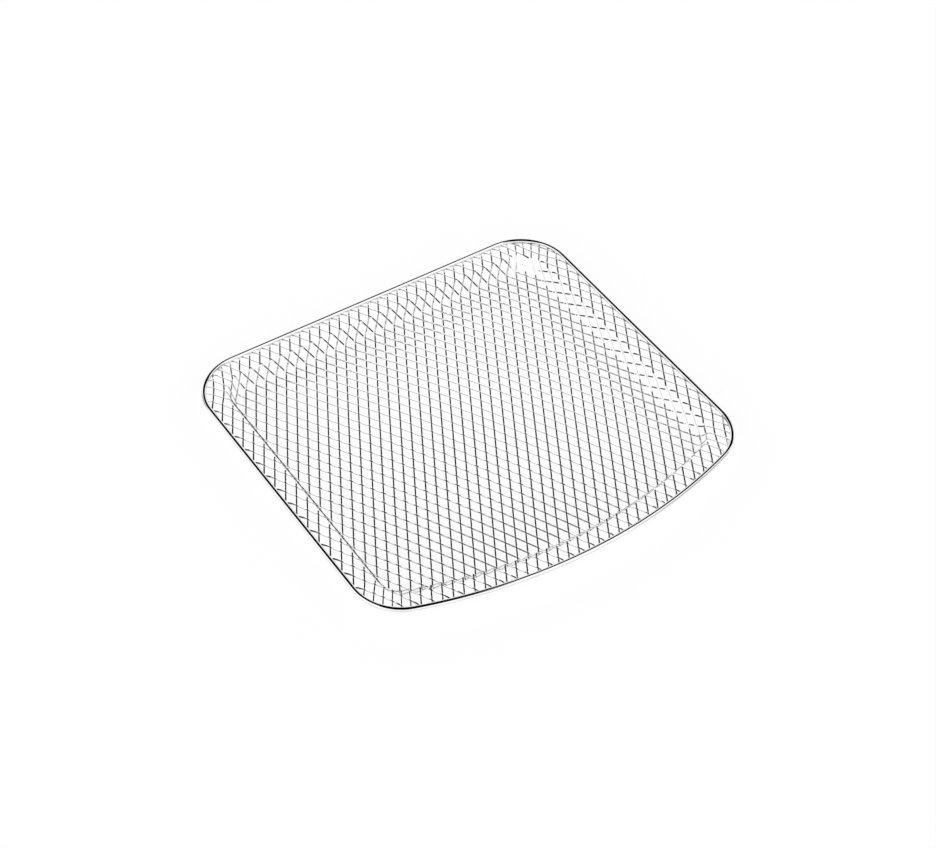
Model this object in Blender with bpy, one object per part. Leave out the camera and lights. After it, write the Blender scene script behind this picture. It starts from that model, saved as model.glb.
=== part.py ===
"""Shallow cooling and crisping tray of expanded steel mesh, in metres, +Z up.

The mesh is one slit and stretched steel sheet with long diamond openings, pressed into a shallow dish: a
slightly crowned floor, a steep wall all round and a flat flange, whose edge is held in a rolled rim. The
strands of the mesh form straight lines in two directions. Here every line of strands is one bent bar: the
lines that run to the back right lie just above those that run to the back left. Neighbouring lines are made
in pairs, and a short flat tie at each end, hidden inside the hollow rim, joins the two lines of a pair.

The rim has a straight back and sides and a bowed front. The origin is the bottom centre of the tray's box,
+X is to the right and -Y is the bowed front.
"""

import math

import bmesh
import bpy
from mathutils import Vector

MM = 0.001

# Driving dimensions of the rim, measured on the centre line of its tube
RIM_WIDTH = 267.0 * MM
RIM_DEPTH = 257.6 * MM
RIM_CORNER_RADIUS = 33.0 * MM
RIM_BOW_RADIUS = 339.0 * MM
RIM_TUBE_RADIUS = 1.5 * MM
RIM_HOLLOW_RADIUS = 1.1 * MM
RIM_SLOT_HALF_HEIGHT = 0.9 * MM
RIM_CORNER_STEPS = 8
RIM_BOW_STEPS = 12
RIM_OUTER_STEPS = 10
RIM_INNER_STEPS = 6

# Driving dimensions of the dish
FLANGE_WIDTH = 14.1 * MM
WALL_RUN = 6.3 * MM
WALL_HEIGHT = 10.3 * MM
FLOOR_MARGIN = 6.0 * MM
CROWN_HEIGHT = 4.6 * MM

# The mesh: the strand lines stand at this angle to the front-to-back axis, on both sides of it
STRAND_ANGLE = math.radians(29.13)
STRAND_PITCH = 7.37 * MM
STRAND_WIDTH = 0.8 * MM
LAYER_GAP = 0.3 * MM
SHEET_HALF = 0.65 * MM
TIE_HALF_WIDTH = 0.6 * MM
TIE_TOP = 0.55 * MM
UPPER_FIRST, UPPER_COUNT, UPPER_PHASE = -26, 52, 0.0
LOWER_FIRST, LOWER_COUNT, LOWER_PHASE = -25, 52, 0.44

# How finely a line is bent, and when it is too short or too slanting to be bent along a fold line
FLATNESS = 0.12 * MM
SHORTEST_DIP = 6.0 * MM
SHALLOW_SINE = 0.4
LINE_REACH = 300.0 * MM
BISECTIONS = 40
TOLERANCE = 0.001 * MM

FLOOR_INSET = FLANGE_WIDTH + WALL_RUN
FLOOR_CORNER_RADIUS = RIM_CORNER_RADIUS - FLOOR_INSET
WALL_LENGTH = math.hypot(WALL_RUN, WALL_HEIGHT)
FLOOR_LEVEL = SHEET_HALF
RIM_LEVEL = FLOOR_LEVEL + WALL_HEIGHT

# The core is the rim's outline moved in by its corner radius, so that its corners are sharp
CORE_HALF_WIDTH = RIM_WIDTH / 2 - RIM_CORNER_RADIUS
CORE_BACK = RIM_DEPTH / 2 - RIM_CORNER_RADIUS
BOW_CENTRE = RIM_BOW_RADIUS - RIM_DEPTH / 2
CORE_BOW_RADIUS = RIM_BOW_RADIUS - RIM_CORNER_RADIUS
CORE_FRONT = BOW_CENTRE - math.sqrt(CORE_BOW_RADIUS**2 - CORE_HALF_WIDTH**2)


def clamp(value, low, high):
    return max(low, min(high, value))


def nearest_on_core(point):
    """The point of the core that a point in plan is nearest to."""
    from_bow = point - Vector((0.0, BOW_CENTRE))
    half_angle = math.asin(CORE_HALF_WIDTH / CORE_BOW_RADIUS)
    angle = math.atan2(from_bow.x, -from_bow.y)
    beyond_bow = abs(angle) < half_angle and from_bow.length > CORE_BOW_RADIUS
    if beyond_bow and point.y < 0:
        return Vector((0.0, BOW_CENTRE)) + from_bow.normalized() * CORE_BOW_RADIUS
    across = clamp(point.x, -CORE_HALF_WIDTH, CORE_HALF_WIDTH)
    front = BOW_CENTRE - math.sqrt(CORE_BOW_RADIUS**2 - across**2)
    return Vector((across, clamp(point.y, front, CORE_BACK)))


def outline_frame(point):
    """Distance from the core, nearest core point and outward unit normal, all in plan."""
    core = nearest_on_core(point)
    offset = point - core
    return offset.length, core, offset.normalized()


def crown(point):
    """Height of the floor above its flat margin."""
    inset = FLOOR_INSET + FLOOR_MARGIN
    across = point.x / (RIM_WIDTH / 2 - inset)
    along = point.y / (RIM_DEPTH / 2 - inset)
    return CROWN_HEIGHT * max(0.0, 1 - across**2) * max(0.0, 1 - along**2)


def mitre(first_slope, second_slope):
    """Offset direction, outward and up, that stays one unit from two faces meeting at a fold."""
    first = Vector((-math.sin(first_slope), math.cos(first_slope)))
    second = Vector((-math.sin(second_slope), math.cos(second_slope)))
    return (first + second) / (1 + first.dot(second))


WALL_SLOPE = math.atan2(WALL_HEIGHT, WALL_RUN)
FOLD_DIRECTION = mitre(0.0, WALL_SLOPE)
WALL_DIRECTION = mitre(WALL_SLOPE, WALL_SLOPE)
FLAT_DIRECTION = mitre(0.0, 0.0)

# Distances from the core in the flat, unpressed mesh at which a line of strands bends
FLAT_MARGIN = FLOOR_CORNER_RADIUS - FLOOR_MARGIN
FLAT_FLOOR_EDGE = FLOOR_CORNER_RADIUS
FLAT_WALL_TOP = FLAT_FLOOR_EDGE + WALL_LENGTH
FLAT_RIM = FLAT_WALL_TOP + FLANGE_WIDTH
FLAT_TIE_INNER = FLAT_RIM - TIE_HALF_WIDTH
FLAT_TIE_OUTER = FLAT_RIM + TIE_HALF_WIDTH


def pressed_profile(distance):
    """Run outward from the core, level, offset direction and outer layer height at a flat distance."""
    wall_start = FLOOR_CORNER_RADIUS
    wall_end = FLOOR_CORNER_RADIUS + WALL_RUN
    if abs(distance - FLAT_FLOOR_EDGE) < TOLERANCE:
        return wall_start, FLOOR_LEVEL, FOLD_DIRECTION, SHEET_HALF
    if abs(distance - FLAT_WALL_TOP) < TOLERANCE:
        return wall_end, RIM_LEVEL, FOLD_DIRECTION, SHEET_HALF
    if distance < FLAT_FLOOR_EDGE:
        return distance, FLOOR_LEVEL, FLAT_DIRECTION, SHEET_HALF
    if distance < FLAT_WALL_TOP:
        part = (distance - FLAT_FLOOR_EDGE) / WALL_LENGTH
        run = wall_start + part * WALL_RUN
        return run, FLOOR_LEVEL + part * WALL_HEIGHT, WALL_DIRECTION, SHEET_HALF
    part = clamp((distance - FLAT_WALL_TOP) / (FLAT_TIE_INNER - FLAT_WALL_TOP), 0.0, 1.0)
    outer = SHEET_HALF + part * (TIE_TOP - SHEET_HALF)
    return wall_end + distance - FLAT_WALL_TOP, RIM_LEVEL, FLAT_DIRECTION, outer


def pressed_point(point, layer=0, face=0.0):
    """Where a point of the flat mesh lies in the tray.

    `layer` is +1 in the upper lines, -1 in the lower ones and 0 between them, and `face` runs from 0 on a
    layer's inner face to 1 on its outer face.
    """
    distance, core, normal = outline_frame(point)
    run, level, direction, outer = pressed_profile(distance)
    offset = layer * (LAYER_GAP / 2 + face * (outer - LAYER_GAP / 2))
    if distance < FLAT_FLOOR_EDGE - TOLERANCE:
        return Vector((point.x, point.y, level + crown(point) + offset))
    plan = core + normal * (run + direction.x * offset)
    return Vector((plan.x, plan.y, level + direction.y * offset))


class StrandLine:
    """A line of strands, straight in the flat mesh. `layer` is +1 in the upper lines, -1 in the lower."""

    def __init__(self, layer, place_across):
        self.layer = layer
        self.along = Vector((layer * math.sin(STRAND_ANGLE), math.cos(STRAND_ANGLE)))
        self.across = Vector((self.along.y, -self.along.x))
        self.start = Vector((place_across, 0.0))
        self.middle = -self.start.dot(self.along)

    def at(self, place):
        return self.start + self.along * place

    def distance(self, place):
        return outline_frame(self.at(place))[0]

    def closest_place(self):
        """Place where the line comes closest to the core."""
        low, high = self.middle - LINE_REACH, self.middle + LINE_REACH
        for _ in range(2 * BISECTIONS):
            third = (high - low) / 3
            if self.distance(low + third) < self.distance(high - third):
                high -= third
            else:
                low += third
        return (low + high) / 2

    def crossing(self, inside, distance, way):
        """Place beyond `inside`, going one way, where the line is at this distance from the core."""
        near, far = inside, inside + way * LINE_REACH
        for _ in range(BISECTIONS):
            middle = (near + far) / 2
            if self.distance(middle) > distance:
                far = middle
            else:
                near = middle
        return (near + far) / 2

    def between(self, first, last):
        """Further places that keep the bent line close to the curved mesh."""
        start, end = pressed_point(self.at(first)), pressed_point(self.at(last))
        close = True
        for part in (0.25, 0.5, 0.75):
            place = first + part * (last - first)
            if (pressed_point(self.at(place)) - start.lerp(end, part)).length > FLATNESS:
                close = False
        if close:
            return []
        middle = (first + last) / 2
        return self.between(first, middle) + [middle] + self.between(middle, last)

    def bends(self):
        """Places of the line's bends from end to end, each with whether it is on a fold line."""
        folds = [FLAT_TIE_OUTER, FLAT_TIE_INNER, FLAT_WALL_TOP, FLAT_FLOOR_EDGE]
        if self.layer < 0:
            folds.append(FLAT_MARGIN)
        inside = self.closest_place()
        starts, ends = [], []
        for fold in folds:
            if self.distance(inside) > fold:
                break
            start = self.crossing(inside, fold, -1)
            end = self.crossing(inside, fold, 1)
            if end - start < SHORTEST_DIP:
                break
            starts.append(start)
            ends.insert(0, end)
        ordered = starts + ends
        places = [(ordered[0], True)]
        for first, last in zip(ordered, ordered[1:]):
            places += [(place, False) for place in self.between(first, last)]
            places.append((last, True))
        return places

    def side(self, place, on_fold):
        """From the middle to the right edge, along the fold line where the strands cross one."""
        distance, _, normal = outline_frame(self.at(place))
        half = STRAND_WIDTH / 2
        if distance < FLAT_FLOOR_EDGE - TOLERANCE:
            return self.across.to_3d() * half
        tangent = Vector((-normal.y, normal.x))
        sine = abs(self.along.dot(normal))
        in_rim = distance > FLAT_TIE_INNER - TOLERANCE
        if on_fold and (in_rim or sine > SHALLOW_SINE):
            return tangent.to_3d() * math.copysign(half / sine, tangent.dot(self.across))
        slope = WALL_SLOPE if distance < FLAT_WALL_TOP - TOLERANCE else 0.0
        outward = self.across.dot(normal) * half
        level = tangent * self.across.dot(tangent) * half + normal * outward * math.cos(slope)
        return Vector((level.x, level.y, outward * math.sin(slope)))

    def sections(self):
        """The corners at each bend: inner left, inner right, outer right and outer left."""
        rows = []
        for place, on_fold in self.bends():
            inner = pressed_point(self.at(place), self.layer, 0.0)
            outer = pressed_point(self.at(place), self.layer, 1.0)
            side = self.side(place, on_fold)
            rows.append([inner - side, inner + side, outer + side, outer - side])
        return rows


def corner_stations(centre, first_angle, last_angle):
    """Core point and outward normal at the steps of one rounded corner, clockwise."""
    stations = []
    for step in range(RIM_CORNER_STEPS + 1):
        angle = first_angle + (last_angle - first_angle) * step / RIM_CORNER_STEPS
        stations.append((Vector(centre), Vector((math.cos(angle), math.sin(angle)))))
    return stations


def rim_stations():
    """Core point and outward normal at every station of the rim, clockwise from the back left."""
    quarter = math.pi / 2
    bow_half_angle = math.asin(CORE_HALF_WIDTH / CORE_BOW_RADIUS)
    bow_end = quarter - bow_half_angle
    stations = corner_stations((CORE_HALF_WIDTH, CORE_BACK), quarter, 0.0)
    stations += corner_stations((CORE_HALF_WIDTH, CORE_FRONT), 0.0, -bow_end)
    for step in range(1, RIM_BOW_STEPS):
        angle = bow_half_angle * (1 - 2 * step / RIM_BOW_STEPS)
        normal = Vector((math.sin(angle), -math.cos(angle)))
        stations.append((Vector((0.0, BOW_CENTRE)) + normal * CORE_BOW_RADIUS, normal))
    stations += corner_stations((-CORE_HALF_WIDTH, CORE_FRONT), bow_end - math.pi, -math.pi)
    stations += corner_stations((-CORE_HALF_WIDTH, CORE_BACK), math.pi, quarter)
    return stations


class RimLine:
    """The rim's centre line, as straight runs between its stations."""

    def __init__(self):
        self.stations = rim_stations()
        self.points = [core + normal * RIM_CORNER_RADIUS for core, normal in self.stations]
        self.places = [0.0]
        for first, last in zip(self.points, self.points[1:] + self.points[:1]):
            self.places.append(self.places[-1] + (last - first).length)
        self.length = self.places[-1]

    def place(self, point):
        """Distance along the rim of the point of it that is nearest."""
        found = (math.inf, 0.0)
        for index, first in enumerate(self.points):
            run = self.points[(index + 1) % len(self.points)] - first
            part = clamp((point.xy - first).dot(run) / run.length_squared, 0.0, 1.0)
            gap = (first + run * part - point.xy).length
            found = min(found, (gap, self.places[index] + part * run.length))
        return found[1]

    def stations_between(self, first_corners, last_corners):
        """Stations strictly between two ends of a tie, in order, going the short way round."""
        origin = self.place(first_corners[0])

        def relative(place):
            return (place - origin + self.length / 2) % self.length - self.length / 2

        starts = [relative(self.place(corner)) for corner in first_corners]
        ends = [relative(self.place(corner)) for corner in last_corners]
        way = 1 if sum(ends) > sum(starts) else -1
        low = max(way * place for place in starts) + TIE_HALF_WIDTH
        high = min(way * place for place in ends) - TIE_HALF_WIDTH
        inside = []
        for place, station in zip(self.places, self.stations):
            if low < way * relative(place) < high:
                inside.append((way * relative(place), station))
        inside.sort(key=lambda entry: entry[0])
        return [station for _, station in inside]


def tie_corners(station, layer):
    """Corners of a tie at a rim station: inner edge low and high, then outer edge high and low."""
    core, normal = station
    corners = []
    for run, face in ((-1, 0), (-1, 1), (1, 1), (1, 0)):
        plan = core + normal * (RIM_CORNER_RADIUS + run * TIE_HALF_WIDTH)
        height = layer * (LAYER_GAP / 2 + face * (TIE_TOP - LAYER_GAP / 2))
        corners.append(Vector((plan.x, plan.y, RIM_LEVEL + height)))
    return corners


def steel(name, colour, roughness):
    """Stainless steel as a metallic Principled material."""
    material = bpy.data.materials.new(name)
    material.use_nodes = True
    shader = material.node_tree.nodes["Principled BSDF"]
    shader.inputs["Base Color"].default_value = (*colour, 1.0)
    shader.inputs["Metallic"].default_value = 1.0
    shader.inputs["Roughness"].default_value = roughness
    return material


def finished(name, mesh_builder, material, sharp_angle):
    """An object of the mesh, with outward faces and smooth shading up to the given angle."""
    bmesh.ops.recalc_face_normals(mesh_builder, faces=mesh_builder.faces)
    mesh = bpy.data.meshes.new(name)
    mesh_builder.to_mesh(mesh)
    mesh_builder.free()
    mesh.shade_smooth()
    mesh.set_sharp_from_angle(angle=sharp_angle)
    mesh.materials.append(material)
    part = bpy.data.objects.new(name, mesh)
    bpy.context.scene.collection.objects.link(part)
    return part


def join_rows(builder, first, last, skipped_side=None):
    """Side faces between two rows of four or more corners, but for one side."""
    for index in range(len(first)):
        if index != skipped_side:
            following = (index + 1) % len(first)
            builder.faces.new((first[index], first[following], last[following], last[index]))


def add_rows(builder, rows):
    return [[builder.verts.new(corner) for corner in row] for row in rows]


RIGHT_SIDE, LEFT_SIDE = 1, 3


def add_line(builder, line, open_side):
    """A bent line whose facing side is left open for the ties in its first and last stretch."""
    rows = add_rows(builder, line.sections())
    last_stretch = len(rows) - 2
    for index, (first, last) in enumerate(zip(rows, rows[1:])):
        in_rim = index in (0, last_stretch)
        join_rows(builder, first, last, open_side if in_rim else None)
    builder.faces.new(rows[0])
    builder.faces.new(rows[-1])
    return rows


def tie_mouth(rows, outer_index, inner_index, side):
    """The open side of a line's stretch in the rim, in the order of tie_corners."""
    low, high = (side, side + 1) if side == RIGHT_SIDE else (0, side)
    inner, outer = rows[inner_index], rows[outer_index]
    return [inner[low], inner[high], outer[high], outer[low]]


def add_tie(builder, rim, layer, first_mouth, last_mouth):
    stations = rim.stations_between(
        [vertex.co for vertex in first_mouth], [vertex.co for vertex in last_mouth]
    )
    rows = add_rows(builder, [tie_corners(station, layer) for station in stations])
    rows = [first_mouth] + rows + [last_mouth]
    for first, last in zip(rows, rows[1:]):
        join_rows(builder, first, last)


def line_pair(name, rim, layer, first_place, material):
    """Two neighbouring lines of one layer, joined inside the rim at both ends."""
    builder = bmesh.new()
    left = add_line(builder, StrandLine(layer, first_place), RIGHT_SIDE)
    right = add_line(builder, StrandLine(layer, first_place + STRAND_PITCH), LEFT_SIDE)
    for outer_index, inner_index in ((0, 1), (-1, -2)):
        first_mouth = tie_mouth(left, outer_index, inner_index, RIGHT_SIDE)
        last_mouth = tie_mouth(right, outer_index, inner_index, LEFT_SIDE)
        add_tie(builder, rim, layer, first_mouth, last_mouth)
    return finished(name, builder, material, math.radians(30))


def rim_section():
    """Corners of the rolled rim's C section, as run outward and height from its centre."""
    outer_lip = math.pi - math.asin(RIM_SLOT_HALF_HEIGHT / RIM_TUBE_RADIUS)
    inner_lip = math.pi - math.asin(RIM_SLOT_HALF_HEIGHT / RIM_HOLLOW_RADIUS)
    corners = []
    for step in range(RIM_OUTER_STEPS + 1):
        angle = outer_lip * (1 - 2 * step / RIM_OUTER_STEPS)
        corners.append((RIM_TUBE_RADIUS * math.cos(angle), RIM_TUBE_RADIUS * math.sin(angle)))
    for step in range(RIM_INNER_STEPS + 1):
        angle = inner_lip * (2 * step / RIM_INNER_STEPS - 1)
        corners.append((RIM_HOLLOW_RADIUS * math.cos(angle), RIM_HOLLOW_RADIUS * math.sin(angle)))
    return corners


def rim_binding(rim):
    """The rolled sheet rim, open along its inner side where the mesh goes in."""
    builder = bmesh.new()
    rows = []
    for core, normal in rim.stations:
        row = []
        for run, height in rim_section():
            plan = core + normal * (RIM_CORNER_RADIUS + run)
            row.append(Vector((plan.x, plan.y, RIM_LEVEL + height)))
        rows.append(row)
    rows = add_rows(builder, rows)
    for first, last in zip(rows, rows[1:] + rows[:1]):
        join_rows(builder, first, last)
    return finished("rim_binding", builder, steel("rim_steel", (0.80, 0.80, 0.81), 0.12), math.radians(50))


def line_layer(name, rim, layer, first, count, phase):
    """All the lines of one layer, in pairs from left to right."""
    for index in range(count // 2):
        label = f"{name}_{index + 1:02d}"
        place = (first + phase + 2 * index) * STRAND_PITCH
        line_pair(label, rim, layer, place, steel(f"{label}_steel", (0.70, 0.70, 0.71), 0.2))


def main():
    for old in list(bpy.data.objects):
        bpy.data.objects.remove(old)
    rim = RimLine()
    rim_binding(rim)
    line_layer("strands_back_right", rim, 1, UPPER_FIRST, UPPER_COUNT, UPPER_PHASE)
    line_layer("strands_back_left", rim, -1, LOWER_FIRST, LOWER_COUNT, LOWER_PHASE)


main()
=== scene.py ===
"""Looks for the expanded-mesh tray: the mesh, the rolled rim, their steel, a pale floor, soft light."""

import math

import bmesh
import bpy
import numpy as np
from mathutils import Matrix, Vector


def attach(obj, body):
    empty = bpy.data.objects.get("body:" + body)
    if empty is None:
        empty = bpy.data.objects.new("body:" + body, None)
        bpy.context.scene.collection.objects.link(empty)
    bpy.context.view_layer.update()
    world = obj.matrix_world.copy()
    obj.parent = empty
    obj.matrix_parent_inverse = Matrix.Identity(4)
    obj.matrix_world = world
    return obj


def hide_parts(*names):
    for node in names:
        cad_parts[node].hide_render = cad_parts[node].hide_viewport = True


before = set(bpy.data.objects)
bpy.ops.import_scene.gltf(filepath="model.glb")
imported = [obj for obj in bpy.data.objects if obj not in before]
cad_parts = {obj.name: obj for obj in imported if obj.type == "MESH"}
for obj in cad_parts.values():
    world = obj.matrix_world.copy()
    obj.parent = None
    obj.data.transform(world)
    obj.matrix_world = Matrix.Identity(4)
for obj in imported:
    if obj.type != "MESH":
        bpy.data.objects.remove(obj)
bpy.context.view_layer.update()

MM = 0.001
# Keeps a division by a length from failing at nought
TINY = 1e-9

# Outline and dish, as in the CAD model
RIM_WIDTH = 267.0 * MM
RIM_DEPTH = 257.6 * MM
RIM_CORNER_RADIUS = 33.0 * MM
RIM_BOW_RADIUS = 339.0 * MM
FLANGE_WIDTH = 14.1 * MM
WALL_RUN = 6.3 * MM
WALL_HEIGHT = 10.3 * MM
FLOOR_MARGIN = 6.0 * MM
CROWN_HEIGHT = 4.6 * MM
FLOOR_LEVEL = 0.65 * MM
RIM_LEVEL = FLOOR_LEVEL + WALL_HEIGHT
FLOOR_INSET = FLANGE_WIDTH + WALL_RUN
FLOOR_CORNER_RADIUS = RIM_CORNER_RADIUS - FLOOR_INSET
CORE_HALF_WIDTH = RIM_WIDTH / 2 - RIM_CORNER_RADIUS
CORE_BACK = RIM_DEPTH / 2 - RIM_CORNER_RADIUS
BOW_CENTRE = RIM_BOW_RADIUS - RIM_DEPTH / 2
CORE_BOW_RADIUS = RIM_BOW_RADIUS - RIM_CORNER_RADIUS
BOW_HALF_ANGLE = math.asin(CORE_HALF_WIDTH / CORE_BOW_RADIUS)

# Expanded mesh: diamonds long in the front-to-back direction
STRAND_ANGLE = math.radians(29.13)
DIAMOND_WIDTH = 7.37 * MM
DIAMOND_LENGTH = DIAMOND_WIDTH / math.tan(STRAND_ANGLE)
# Shift of the grid of bonds from the tray's centre, in half diamonds
GRID_PHASE = 0.44
STRAND_WIDTH = 0.85 * MM
SHEET_THICKNESS = 0.5 * MM
BOND_WIDTH = 0.5 * MM
BOND_LENGTH = 0.8 * MM
BOND_LEAN = math.radians(-9.5)
STRAND_LEAN = math.radians(-14.0)
# Places along a strand, each with how much of the strand's own lean it has
STRAND_SECTIONS = ((0.2, 0.8), (0.5, 1.0), (0.8, 0.8))
# How far the sheet goes past the rim's centre line, and the share of a strand at which it can be cut there
SHEET_END = 0.2 * MM
CUT_LOWEST, CUT_HIGHEST = 0.05, 0.95
# Sides of a four-cornered section, each named by the corner that it starts from
LEFT_SIDE, RIGHT_SIDE = 3, 1
# Material slot of the sides cut by the slitting: their steel is rougher, and its darker tone is painted shade
SHEARED_PAINTED_SHADE_SLOT = 1

# Bends of the pressed sheet
BEND_RADIUS = 1.0 * MM
WALL_SLOPE = math.radians(64.0)
# The sheet's edge dips into the rim
DIP = 0.8 * MM
DIP_START, DIP_END = 3.9 * MM, 1.5 * MM
# Points in the table of the wall's profile, and the step that normals are measured over
WALL_TABLE_SIZE = 241
NORMAL_STEP = 0.05 * MM


def clamp(value, low, high):
    return max(low, min(high, value))


def nearest_on_core(point):
    """The point of the core that each point in plan is nearest to."""
    from_bow = point - np.array([0.0, BOW_CENTRE])
    reach = np.linalg.norm(from_bow, axis=1)
    angle = np.arctan2(from_bow[:, 0], -from_bow[:, 1])
    across = np.clip(point[:, 0], -CORE_HALF_WIDTH, CORE_HALF_WIDTH)
    front = BOW_CENTRE - np.sqrt(CORE_BOW_RADIUS**2 - across**2)
    core = np.stack([across, np.clip(point[:, 1], front, CORE_BACK)], 1)
    beyond = (np.abs(angle) < BOW_HALF_ANGLE) & (reach > CORE_BOW_RADIUS) & (point[:, 1] < 0)
    on_bow = np.array([0.0, BOW_CENTRE]) + from_bow * (CORE_BOW_RADIUS / np.maximum(reach, MM))[:, None]
    core[beyond] = on_bow[beyond]
    return core


def wall_profile():
    """Run and rise along the pressed wall, as a table over distance from the floor's edge."""
    arc = BEND_RADIUS * WALL_SLOPE
    bend_run = BEND_RADIUS * math.sin(WALL_SLOPE)
    straight = (WALL_RUN - 2 * bend_run) / math.cos(WALL_SLOPE)
    total = 2 * arc + straight
    steps = np.linspace(0.0, total, WALL_TABLE_SIZE)
    slope = np.clip(np.minimum(steps, total - steps) / BEND_RADIUS, 0.0, WALL_SLOPE)
    middle = (slope[1:] + slope[:-1]) / 2
    size = np.diff(steps)
    run = np.concatenate([[0.0], np.cumsum(np.cos(middle) * size)])
    rise = np.concatenate([[0.0], np.cumsum(np.sin(middle) * size)])
    return steps, run * WALL_RUN / run[-1], rise * WALL_HEIGHT / rise[-1]


WALL_STEPS, WALL_RUNS, WALL_RISES = wall_profile()
WALL_LENGTH = WALL_STEPS[-1]
FLAT_RIM = FLOOR_CORNER_RADIUS + WALL_LENGTH + FLANGE_WIDTH


def crown(point):
    """Height of the floor above its flat margin."""
    inset = FLOOR_INSET + FLOOR_MARGIN
    across = point[:, 0] / (RIM_WIDTH / 2 - inset)
    along = point[:, 1] / (RIM_DEPTH / 2 - inset)
    return CROWN_HEIGHT * np.clip(1 - across**2, 0, None) * np.clip(1 - along**2, 0, None)


def pressed(flat):
    """Where points of the flat sheet's middle lie in the pressed tray."""
    core = nearest_on_core(flat)
    offset = flat - core
    distance = np.linalg.norm(offset, axis=1)
    normal = offset / np.maximum(distance, TINY)[:, None]
    past = distance - FLOOR_CORNER_RADIUS
    run = np.interp(past, WALL_STEPS, WALL_RUNS)
    rise = np.interp(past, WALL_STEPS, WALL_RISES)
    beyond = np.clip(past - WALL_LENGTH, 0, None)
    reach = np.where(past < 0, distance, FLOOR_CORNER_RADIUS + run + beyond)
    plan = core + normal * reach[:, None]
    height = FLOOR_LEVEL + rise + np.where(past < 0, crown(flat), 0.0)
    dipped = np.clip((distance - FLAT_RIM + DIP_START) / (DIP_START - DIP_END), 0, 1)
    height -= DIP * dipped**2 * (3 - 2 * dipped)
    return np.column_stack([plan, height])


def flat_distance(flat):
    """How far points of the flat sheet are from the core."""
    return np.linalg.norm(flat - nearest_on_core(flat), axis=1)


def surface_normals(flat):
    """Unit normals of the pressed sheet at points of the flat sheet."""
    along_x = pressed(flat + [NORMAL_STEP, 0.0]) - pressed(flat - [NORMAL_STEP, 0.0])
    along_y = pressed(flat + [0.0, NORMAL_STEP]) - pressed(flat - [0.0, NORMAL_STEP])
    normal = np.cross(along_x, along_y)
    return normal / np.linalg.norm(normal, axis=1)[:, None]


def unit(vector):
    return vector / np.linalg.norm(vector)


def leaned(across, angle):
    """A level direction across the strand, leaned up by an angle."""
    return np.array([across[0] * math.cos(angle), across[1] * math.cos(angle), math.sin(angle)])


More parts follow.
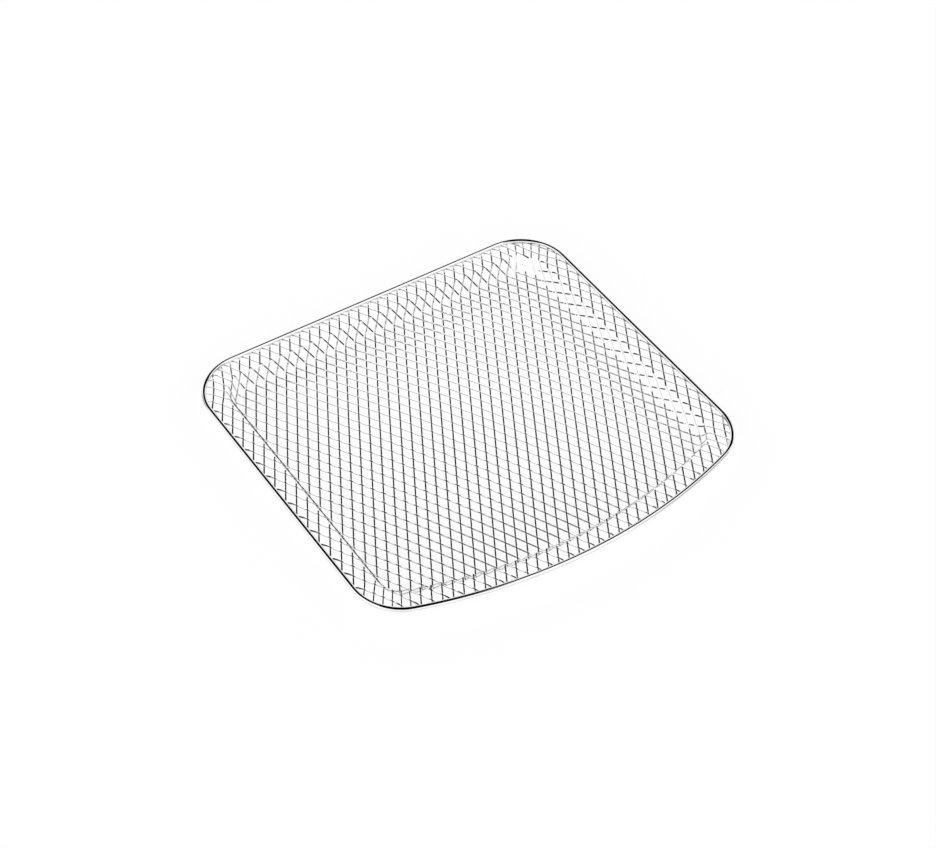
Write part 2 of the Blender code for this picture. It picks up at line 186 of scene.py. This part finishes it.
class MeshSheet:
    """The expanded sheet, built in flat-sheet coordinates (x, y, height) and then pressed."""

    def __init__(self):
        self.points = []
        self.faces = []
        self.sheared_sides_painted_dark = set()
        self.shared = {}

    def point(self, place):
        self.points.append(place)
        return len(self.points) - 1

    def bond_point(self, key, place):
        """A corner on a bond's middle line, which belongs to the strips on both sides."""
        if key not in self.shared:
            self.shared[key] = self.point(place)
        return self.shared[key]

    def bond_centre(self, boundary, row):
        """Middle of a bond in the flat sheet."""
        x = (boundary + GRID_PHASE) * DIAMOND_WIDTH / 2
        y = (row + GRID_PHASE) * DIAMOND_LENGTH / 2
        return np.array([x, y, 0.0])

    def bond_section(self, strip, row, end):
        """Corners of a strip's section at one end of a bond: low left, low right, top right, top left."""
        on_left = (row - strip) % 2 == 0
        boundary = strip if on_left else strip + 1
        across = leaned((1.0, 0.0), BOND_LEAN)
        normal = np.cross(across, [0.0, 1.0, 0.0])
        middle = self.bond_centre(boundary, row) + [0.0, end * BOND_LENGTH / 2, 0.0]
        far = middle + across * BOND_WIDTH * (1 if on_left else -1)
        half = normal * SHEET_THICKNESS / 2
        low = self.bond_point((boundary, row, end, 0), middle - half)
        top = self.bond_point((boundary, row, end, 1), middle + half)
        far_low, far_top = self.point(far - half), self.point(far + half)
        centre = (middle + far) / 2
        if on_left:
            return [low, far_low, far_top, top], centre
        return [far_low, low, top, far_top], centre

    def strand_section(self, start, end, part, lean_share):
        """Corners of a strand's section part of the way between two bonds."""
        along = unit(end - start)
        lean = STRAND_LEAN * lean_share + BOND_LEAN * (1 - lean_share)
        across = leaned(unit(np.array([along[1], -along[0]])), lean)
        across = unit(across - along * across.dot(along))
        normal = np.cross(across, along)
        centre = start + (end - start) * part
        side, half = across * STRAND_WIDTH / 2, normal * SHEET_THICKNESS / 2
        corners = [centre - side - half, centre + side - half, centre + side + half, centre - side + half]
        return [self.point(corner) for corner in corners], centre

    def strip(self, strip, rows):
        """One strip between two rows of slits, zigzagging from bond to bond."""
        sections = []
        last_centre = None
        for row in rows:
            corners, centre = self.bond_section(strip, row, -1)
            if last_centre is not None:
                for part, share in STRAND_SECTIONS:
                    between, middle = self.strand_section(last_centre, centre, part, share)
                    sections.append((between, middle, None, None))
            on_left = (row - strip) % 2 == 0
            open_side = LEFT_SIDE if on_left else RIGHT_SIDE
            bond = self.bond_centre(strip if on_left else strip + 1, row)
            sections.append((corners, centre, open_side, bond))
            corners, last_centre = self.bond_section(strip, row, 1)
            sections.append((corners, last_centre, None, None))
        self.skin(sections)

    def skin(self, sections):
        """Faces around the stretches of a strip that lie inside the rim, with their ends closed."""
        centres = np.array([centre[:2] for _, centre, _, _ in sections])
        inside = flat_distance(centres) < FLAT_RIM + SHEET_END
        for index, (_, _, _, bond) in enumerate(sections):
            if bond is not None:
                inside[index] = inside[index + 1] = flat_distance(bond[None, :2])[0] < FLAT_RIM + SHEET_END
        last = None
        for index, (corners, _, _, _) in enumerate(sections):
            if index and inside[index] != inside[index - 1]:
                cut = self.cut_section(sections[index - 1], sections[index])
                if inside[index]:
                    self.faces.append(cut)
                    self.join(cut, corners, None)
                else:
                    self.join(last, cut, None)
                    self.faces.append(cut)
            elif index and inside[index]:
                self.join(last, corners, sections[index - 1][2])
            last = corners

    def cut_section(self, first, second):
        """New corners where a strand reaches the end of the sheet, between two sections."""
        ends = flat_distance(np.array([first[1][:2], second[1][:2]])) - FLAT_RIM - SHEET_END
        part = clamp(ends[0] / (ends[0] - ends[1]), CUT_LOWEST, CUT_HIGHEST)
        corners = []
        for low, high in zip(first[0], second[0]):
            corners.append(self.point(self.points[low] * (1 - part) + self.points[high] * part))
        return corners

    def join(self, first, second, open_side):
        """Faces between two sections, without the side that a bond leaves open."""
        for side in range(4):
            if side != open_side:
                following = (side + 1) % 4
                if side in (LEFT_SIDE, RIGHT_SIDE):
                    # These sides get the darker steel, whose tone is painted shade
                    self.sheared_sides_painted_dark.add(len(self.faces))
                self.faces.append([first[side], first[following], second[following], second[side]])

    def build(self, name):
        """The pressed sheet as a mesh object."""
        spread = 2 * WALL_HEIGHT
        half_columns = math.ceil((RIM_WIDTH + spread) / DIAMOND_WIDTH)
        half_rows = math.ceil((RIM_DEPTH + spread) / DIAMOND_LENGTH)
        for strip in range(-half_columns, half_columns):
            self.strip(strip, range(-half_rows, half_rows + 1))
        points = np.array(self.points)
        flat = points[:, :2]
        placed = pressed(flat) + surface_normals(flat) * points[:, 2:]
        used = sorted({index for face in self.faces for index in face})
        renumbered = {index: place for place, index in enumerate(used)}
        mesh = bpy.data.meshes.new(name)
        faces = [[renumbered[index] for index in face] for face in self.faces]
        mesh.from_pydata(placed[used].tolist(), [], faces)
        for index in self.sheared_sides_painted_dark:
            mesh.polygons[index].material_index = SHEARED_PAINTED_SHADE_SLOT
        return new_object(name, mesh)


def new_object(name, mesh):
    """An object in the scene for a mesh, with its normals outwards."""
    builder = bmesh.new()
    builder.from_mesh(mesh)
    bmesh.ops.recalc_face_normals(builder, faces=builder.faces)
    builder.to_mesh(mesh)
    builder.free()
    made = bpy.data.objects.new(name, mesh)
    bpy.context.scene.collection.objects.link(made)
    return made


# Rolled rim: a tube open along its inner side, where it grips the sheet, and a little below its centre
RIM_TUBE_RADIUS = 1.6 * MM
RIM_SHEET = 0.35 * MM
RIM_SLOT_HALF_ANGLE = math.radians(20.0)
RIM_SLOT_DROP = math.asin(DIP / RIM_TUBE_RADIUS)
RIM_AROUND = 28
RIM_STATION_GAP = 1.5 * MM
# Place in the list of corners of the one that the bowed edge follows
FRONT_RIGHT = 1


def rim_line():
    """Points and outward normals round the rim's centre line, closed, clockwise from the back right."""
    quarter = math.pi / 2
    bow_end = quarter - BOW_HALF_ANGLE
    front = BOW_CENTRE - math.sqrt(CORE_BOW_RADIUS**2 - CORE_HALF_WIDTH**2)
    corners = (
        ((CORE_HALF_WIDTH, CORE_BACK), quarter, 0.0),
        ((CORE_HALF_WIDTH, front), 0.0, -bow_end),
        ((-CORE_HALF_WIDTH, front), bow_end - math.pi, -math.pi),
        ((-CORE_HALF_WIDTH, CORE_BACK), -math.pi, -quarter * 3),
    )
    points, normals = [], []
    for index, (centre, first, last) in enumerate(corners):
        steps = math.ceil(abs(last - first) * RIM_CORNER_RADIUS / RIM_STATION_GAP)
        for step in range(steps + 1):
            angle = first + (last - first) * step / steps
            normal = np.array([math.cos(angle), math.sin(angle)])
            points.append(np.array(centre) + normal * RIM_CORNER_RADIUS)
            normals.append(normal)
        if index == FRONT_RIGHT:
            steps = math.ceil(2 * BOW_HALF_ANGLE * RIM_BOW_RADIUS / RIM_STATION_GAP)
            for step in range(1, steps):
                angle = BOW_HALF_ANGLE * (1 - 2 * step / steps)
                normal = np.array([math.sin(angle), -math.cos(angle)])
                points.append(np.array([0.0, BOW_CENTRE]) + normal * RIM_BOW_RADIUS)
                normals.append(normal)
        else:
            following = corners[(index + 1) % len(corners)]
            start = points[-1]
            angle = following[1]
            normal = np.array([math.cos(angle), math.sin(angle)])
            end = np.array(following[0]) + normal * RIM_CORNER_RADIUS
            steps = math.ceil(np.linalg.norm(end - start) / RIM_STATION_GAP)
            for step in range(1, steps):
                points.append(start + (end - start) * step / steps)
                normals.append(normal)
    return np.array(points), np.array(normals)


def rim_section():
    """Outline of the rolled sheet, as run outward and height from the tube's centre."""
    corners = []
    for radius, way in ((RIM_TUBE_RADIUS, 1), (RIM_TUBE_RADIUS - RIM_SHEET, -1)):
        for step in range(RIM_AROUND + 1):
            angle = RIM_SLOT_DROP + way * (math.pi - RIM_SLOT_HALF_ANGLE) * (1 - 2 * step / RIM_AROUND)
            corners.append((radius * math.cos(angle), radius * math.sin(angle)))
    return np.array(corners)


def build_rim(name):
    """The rim as a mesh object: its section at each point of the centre line, joined round."""
    points, normals = rim_line()
    section = rim_section()
    rows = []
    for point, normal in zip(points, normals):
        plan = point + section[:, :1] * normal
        rows.append(np.column_stack([plan, RIM_LEVEL + section[:, 1]]))
    count, around = len(rows), len(section)
    faces = []
    for row in range(count):
        here, ahead = row * around, (row + 1) % count * around
        for side in range(around):
            beside = (side + 1) % around
            faces.append([here + side, here + beside, ahead + beside, ahead + side])
    mesh = bpy.data.meshes.new(name)
    mesh.from_pydata(np.concatenate(rows).tolist(), [], faces)
    return new_object(name, mesh)


def shade(part, sharp_degrees, *materials):
    """Smooth shading, except across edges sharper than an angle, and the materials."""
    part.data.shade_smooth()
    part.data.set_sharp_from_angle(angle=math.radians(sharp_degrees))
    for material in materials:
        part.data.materials.append(material)


def node(tree, kind, **inputs):
    """A shader node with constants in some of its inputs."""
    made = tree.nodes.new(kind)
    for name, value in inputs.items():
        made.inputs[name.replace("_", " ")].default_value = value
    return made


# Patches in the steel's tone: noise scale and detail, limits of its ramp, and shares of the tone at both ends
PATCH_SCALE, PATCH_DETAIL = 60.0, 3.0
PATCH_FROM, PATCH_TO = 0.3, 0.7
PATCH_DARK = (0.90, 0.905, 0.92)
PATCH_BRIGHT = (1.0, 1.0, 0.995)
# Fine grain: noise detail, shares of the roughness at both ends, and depth of the dents
GRAIN_DETAIL = 4.0
SMOOTHEST, ROUGHEST = 0.7, 1.4
DENT_DEPTH = 0.02 * MM


def steel(name, tone, roughness, grain_scale, grain_strength):
    """Stainless steel with fine rolling marks, small dents and patchy brightness."""
    material = bpy.data.materials.new(name)
    material.use_nodes = True
    tree = material.node_tree
    shader = tree.nodes["Principled BSDF"]
    shader.inputs["Metallic"].default_value = 1.0
    place = tree.nodes.new("ShaderNodeTexCoord")
    patches = node(tree, "ShaderNodeTexNoise", Scale=PATCH_SCALE, Detail=PATCH_DETAIL)
    tree.links.new(place.outputs["Object"], patches.inputs["Vector"])
    tint = tree.nodes.new("ShaderNodeValToRGB")
    stops = tint.color_ramp.elements
    stops[0].position, stops[1].position = PATCH_FROM, PATCH_TO
    stops[0].color = (*(tone * share for share in PATCH_DARK), 1.0)
    stops[1].color = (*(tone * share for share in PATCH_BRIGHT), 1.0)
    tree.links.new(patches.outputs["Fac"], tint.inputs["Fac"])
    tree.links.new(tint.outputs["Color"], shader.inputs["Base Color"])
    grain = node(tree, "ShaderNodeTexNoise", Scale=grain_scale, Detail=GRAIN_DETAIL)
    tree.links.new(place.outputs["Object"], grain.inputs["Vector"])
    polish = node(tree, "ShaderNodeMapRange")
    polish.inputs["To Min"].default_value = roughness * SMOOTHEST
    polish.inputs["To Max"].default_value = roughness * ROUGHEST
    tree.links.new(grain.outputs["Fac"], polish.inputs["Value"])
    tree.links.new(polish.outputs["Result"], shader.inputs["Roughness"])
    bump = node(tree, "ShaderNodeBump", Strength=grain_strength, Distance=DENT_DEPTH)
    tree.links.new(grain.outputs["Fac"], bump.inputs["Height"])
    tree.links.new(bump.outputs["Normal"], shader.inputs["Normal"])
    return material


MESH_SHARP_DEGREES = 40.0
RIM_SHARP_DEGREES = 50.0

mesh_nodes = sorted(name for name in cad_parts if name.startswith("strands"))
sheet = MeshSheet().build("expanded_mesh")
shade(
    sheet,
    MESH_SHARP_DEGREES,
    steel("expanded_steel", tone=0.80, roughness=0.08, grain_scale=2500.0, grain_strength=0.15),
    # The slit sides are rougher, and their darker tone is painted shade standing in for the shadowed floor
    # that they reflect
    steel("sheared_steel_painted_shade", tone=0.50, roughness=0.30, grain_scale=4000.0, grain_strength=0.4),
)
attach(sheet, "root")
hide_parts(*mesh_nodes)

rim = build_rim("rolled_rim")
rim_steel = steel("rim_sheet_steel", tone=0.84, roughness=0.05, grain_scale=900.0, grain_strength=0.1)
shade(rim, RIM_SHARP_DEGREES, rim_steel)
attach(rim, "root")
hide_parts("rim_binding")


def plain(name, colour, roughness, glow):
    """A matt surface that also gives off a little white light."""
    material = bpy.data.materials.new(name)
    material.use_nodes = True
    shader = material.node_tree.nodes["Principled BSDF"]
    shader.inputs["Base Color"].default_value = (*colour, 1.0)
    shader.inputs["Roughness"].default_value = roughness
    shader.inputs["Specular IOR Level"].default_value = 0.0
    shader.inputs["Emission Color"].default_value = (1.0, 1.0, 1.0, 1.0)
    shader.inputs["Emission Strength"].default_value = glow
    return material


FLOOR_SIZE = 40.0
FLOOR_DROP = 0.02 * MM
FLOOR_COLOUR = (0.25, 0.25, 0.25)
FLOOR_ROUGHNESS = 0.9
FLOOR_GLOW = 0.86

bpy.ops.mesh.primitive_plane_add(size=FLOOR_SIZE, location=(0.0, 0.0, -FLOOR_DROP))
floor = bpy.context.object
floor.name = "pale_floor"
floor.data.materials.append(plain("pale_floor", FLOOR_COLOUR, FLOOR_ROUGHNESS, FLOOR_GLOW))


SKY_STRENGTH = 1.3
# Unlit part of the studio above and behind the tray, as limits on the direction looked in
UNLIT_LOW, UNLIT_LOW_SLANT, UNLIT_LOW_BLUR = 0.29, 0.3, 0.04
UNLIT_LEFT, UNLIT_LEFT_BLUR = -0.54, 0.06
UNLIT_FRONT, UNLIT_FRONT_SLANT, UNLIT_FRONT_BLUR = -0.2, 0.1, 0.06
# Smaller unlit discs: azimuth clockwise from the back, elevation and radius, in degrees
UNLIT_DISCS = (
    (128.0, 2.0, 18.0),
    (-33.0, 5.0, 14.0),
    (-147.0, 62.0, 28.0),
)
DISC_BLUR = 0.02


def math_node(tree, operation, first, second):
    """The output of a math node, each of whose inputs is a number or another node's output."""
    made = tree.nodes.new("ShaderNodeMath")
    made.operation = operation
    for socket, value in zip(made.inputs, (first, second)):
        if isinstance(value, (int, float)):
            socket.default_value = value
        else:
            tree.links.new(value, socket)
    return made.outputs[0]


def soft_limit(tree, value, limit, blur):
    """One where the value is above the limit, nought below it, with a soft edge."""
    made = tree.nodes.new("ShaderNodeMapRange")
    made.interpolation_type = "SMOOTHSTEP"
    made.inputs["From Min"].default_value = limit - blur
    made.inputs["From Max"].default_value = limit + blur
    tree.links.new(value, made.inputs["Value"])
    return made.outputs["Result"]


def heading(azimuth, elevation):
    """Unit vector towards an azimuth, clockwise from the back, and an elevation, in degrees."""
    azimuth, elevation = math.radians(azimuth), math.radians(elevation)
    level = math.cos(elevation)
    return Vector((math.sin(azimuth) * level, math.cos(azimuth) * level, math.sin(elevation)))


def studio_world():
    """White surroundings with a large unlit area and some discs, which the steel reflects as dark lines."""
    world = bpy.data.worlds.new("studio")
    world.use_nodes = True
    tree = world.node_tree
    towards = tree.nodes.new("ShaderNodeSeparateXYZ")
    place = tree.nodes.new("ShaderNodeTexCoord").outputs["Generated"]
    tree.links.new(place, towards.inputs[0])
    across, back, up = (towards.outputs[axis] for axis in "XYZ")
    behind = math_node(tree, "SUBTRACT", back, math_node(tree, "MULTIPLY", across, UNLIT_FRONT_SLANT))
    above = math_node(tree, "SUBTRACT", up, math_node(tree, "MULTIPLY", back, UNLIT_LOW_SLANT))
    unlit = math_node(
        tree,
        "MULTIPLY",
        soft_limit(tree, above, UNLIT_LOW, UNLIT_LOW_BLUR),
        soft_limit(tree, behind, UNLIT_FRONT, UNLIT_FRONT_BLUR),
    )
    unlit = math_node(tree, "MULTIPLY", unlit, soft_limit(tree, across, UNLIT_LEFT, UNLIT_LEFT_BLUR))
    for azimuth, elevation, radius in UNLIT_DISCS:
        aimed = tree.nodes.new("ShaderNodeVectorMath")
        aimed.operation = "DOT_PRODUCT"
        tree.links.new(place, aimed.inputs[0])
        aimed.inputs[1].default_value = heading(azimuth, elevation)
        disc = soft_limit(tree, aimed.outputs["Value"], math.cos(math.radians(radius)), DISC_BLUR)
        unlit = math_node(tree, "MAXIMUM", unlit, disc)
    level = math_node(tree, "SUBTRACT", 1.0, unlit)
    shader = tree.nodes["Background"]
    shader.inputs["Color"].default_value = (1.0, 1.0, 1.0, 1.0)
    tree.links.new(math_node(tree, "MULTIPLY", level, SKY_STRENGTH), shader.inputs["Strength"])
    return world


bpy.context.scene.world = studio_world()

scene = bpy.context.scene
scene.view_settings.view_transform = "Standard"

CAMERA_PLACE = Vector((-0.550464, -0.845682, 1.036932))
CAMERA_AZIMUTH = math.radians(-32.884)
CAMERA_ELEVATION = math.radians(45.6006)
CAMERA_LENS, CAMERA_SENSOR = 89.0, 36.0
CAMERA_REACH = 100.0
camera_data = bpy.data.cameras.new("camera")
camera_data.sensor_width = CAMERA_SENSOR
camera_data.lens = CAMERA_LENS
camera_data.clip_end = CAMERA_REACH
camera = bpy.data.objects.new("camera", camera_data)
scene.collection.objects.link(camera)
camera.location = CAMERA_PLACE
camera.rotation_euler = (math.pi / 2 - CAMERA_ELEVATION, 0.0, CAMERA_AZIMUTH)
scene.camera = camera
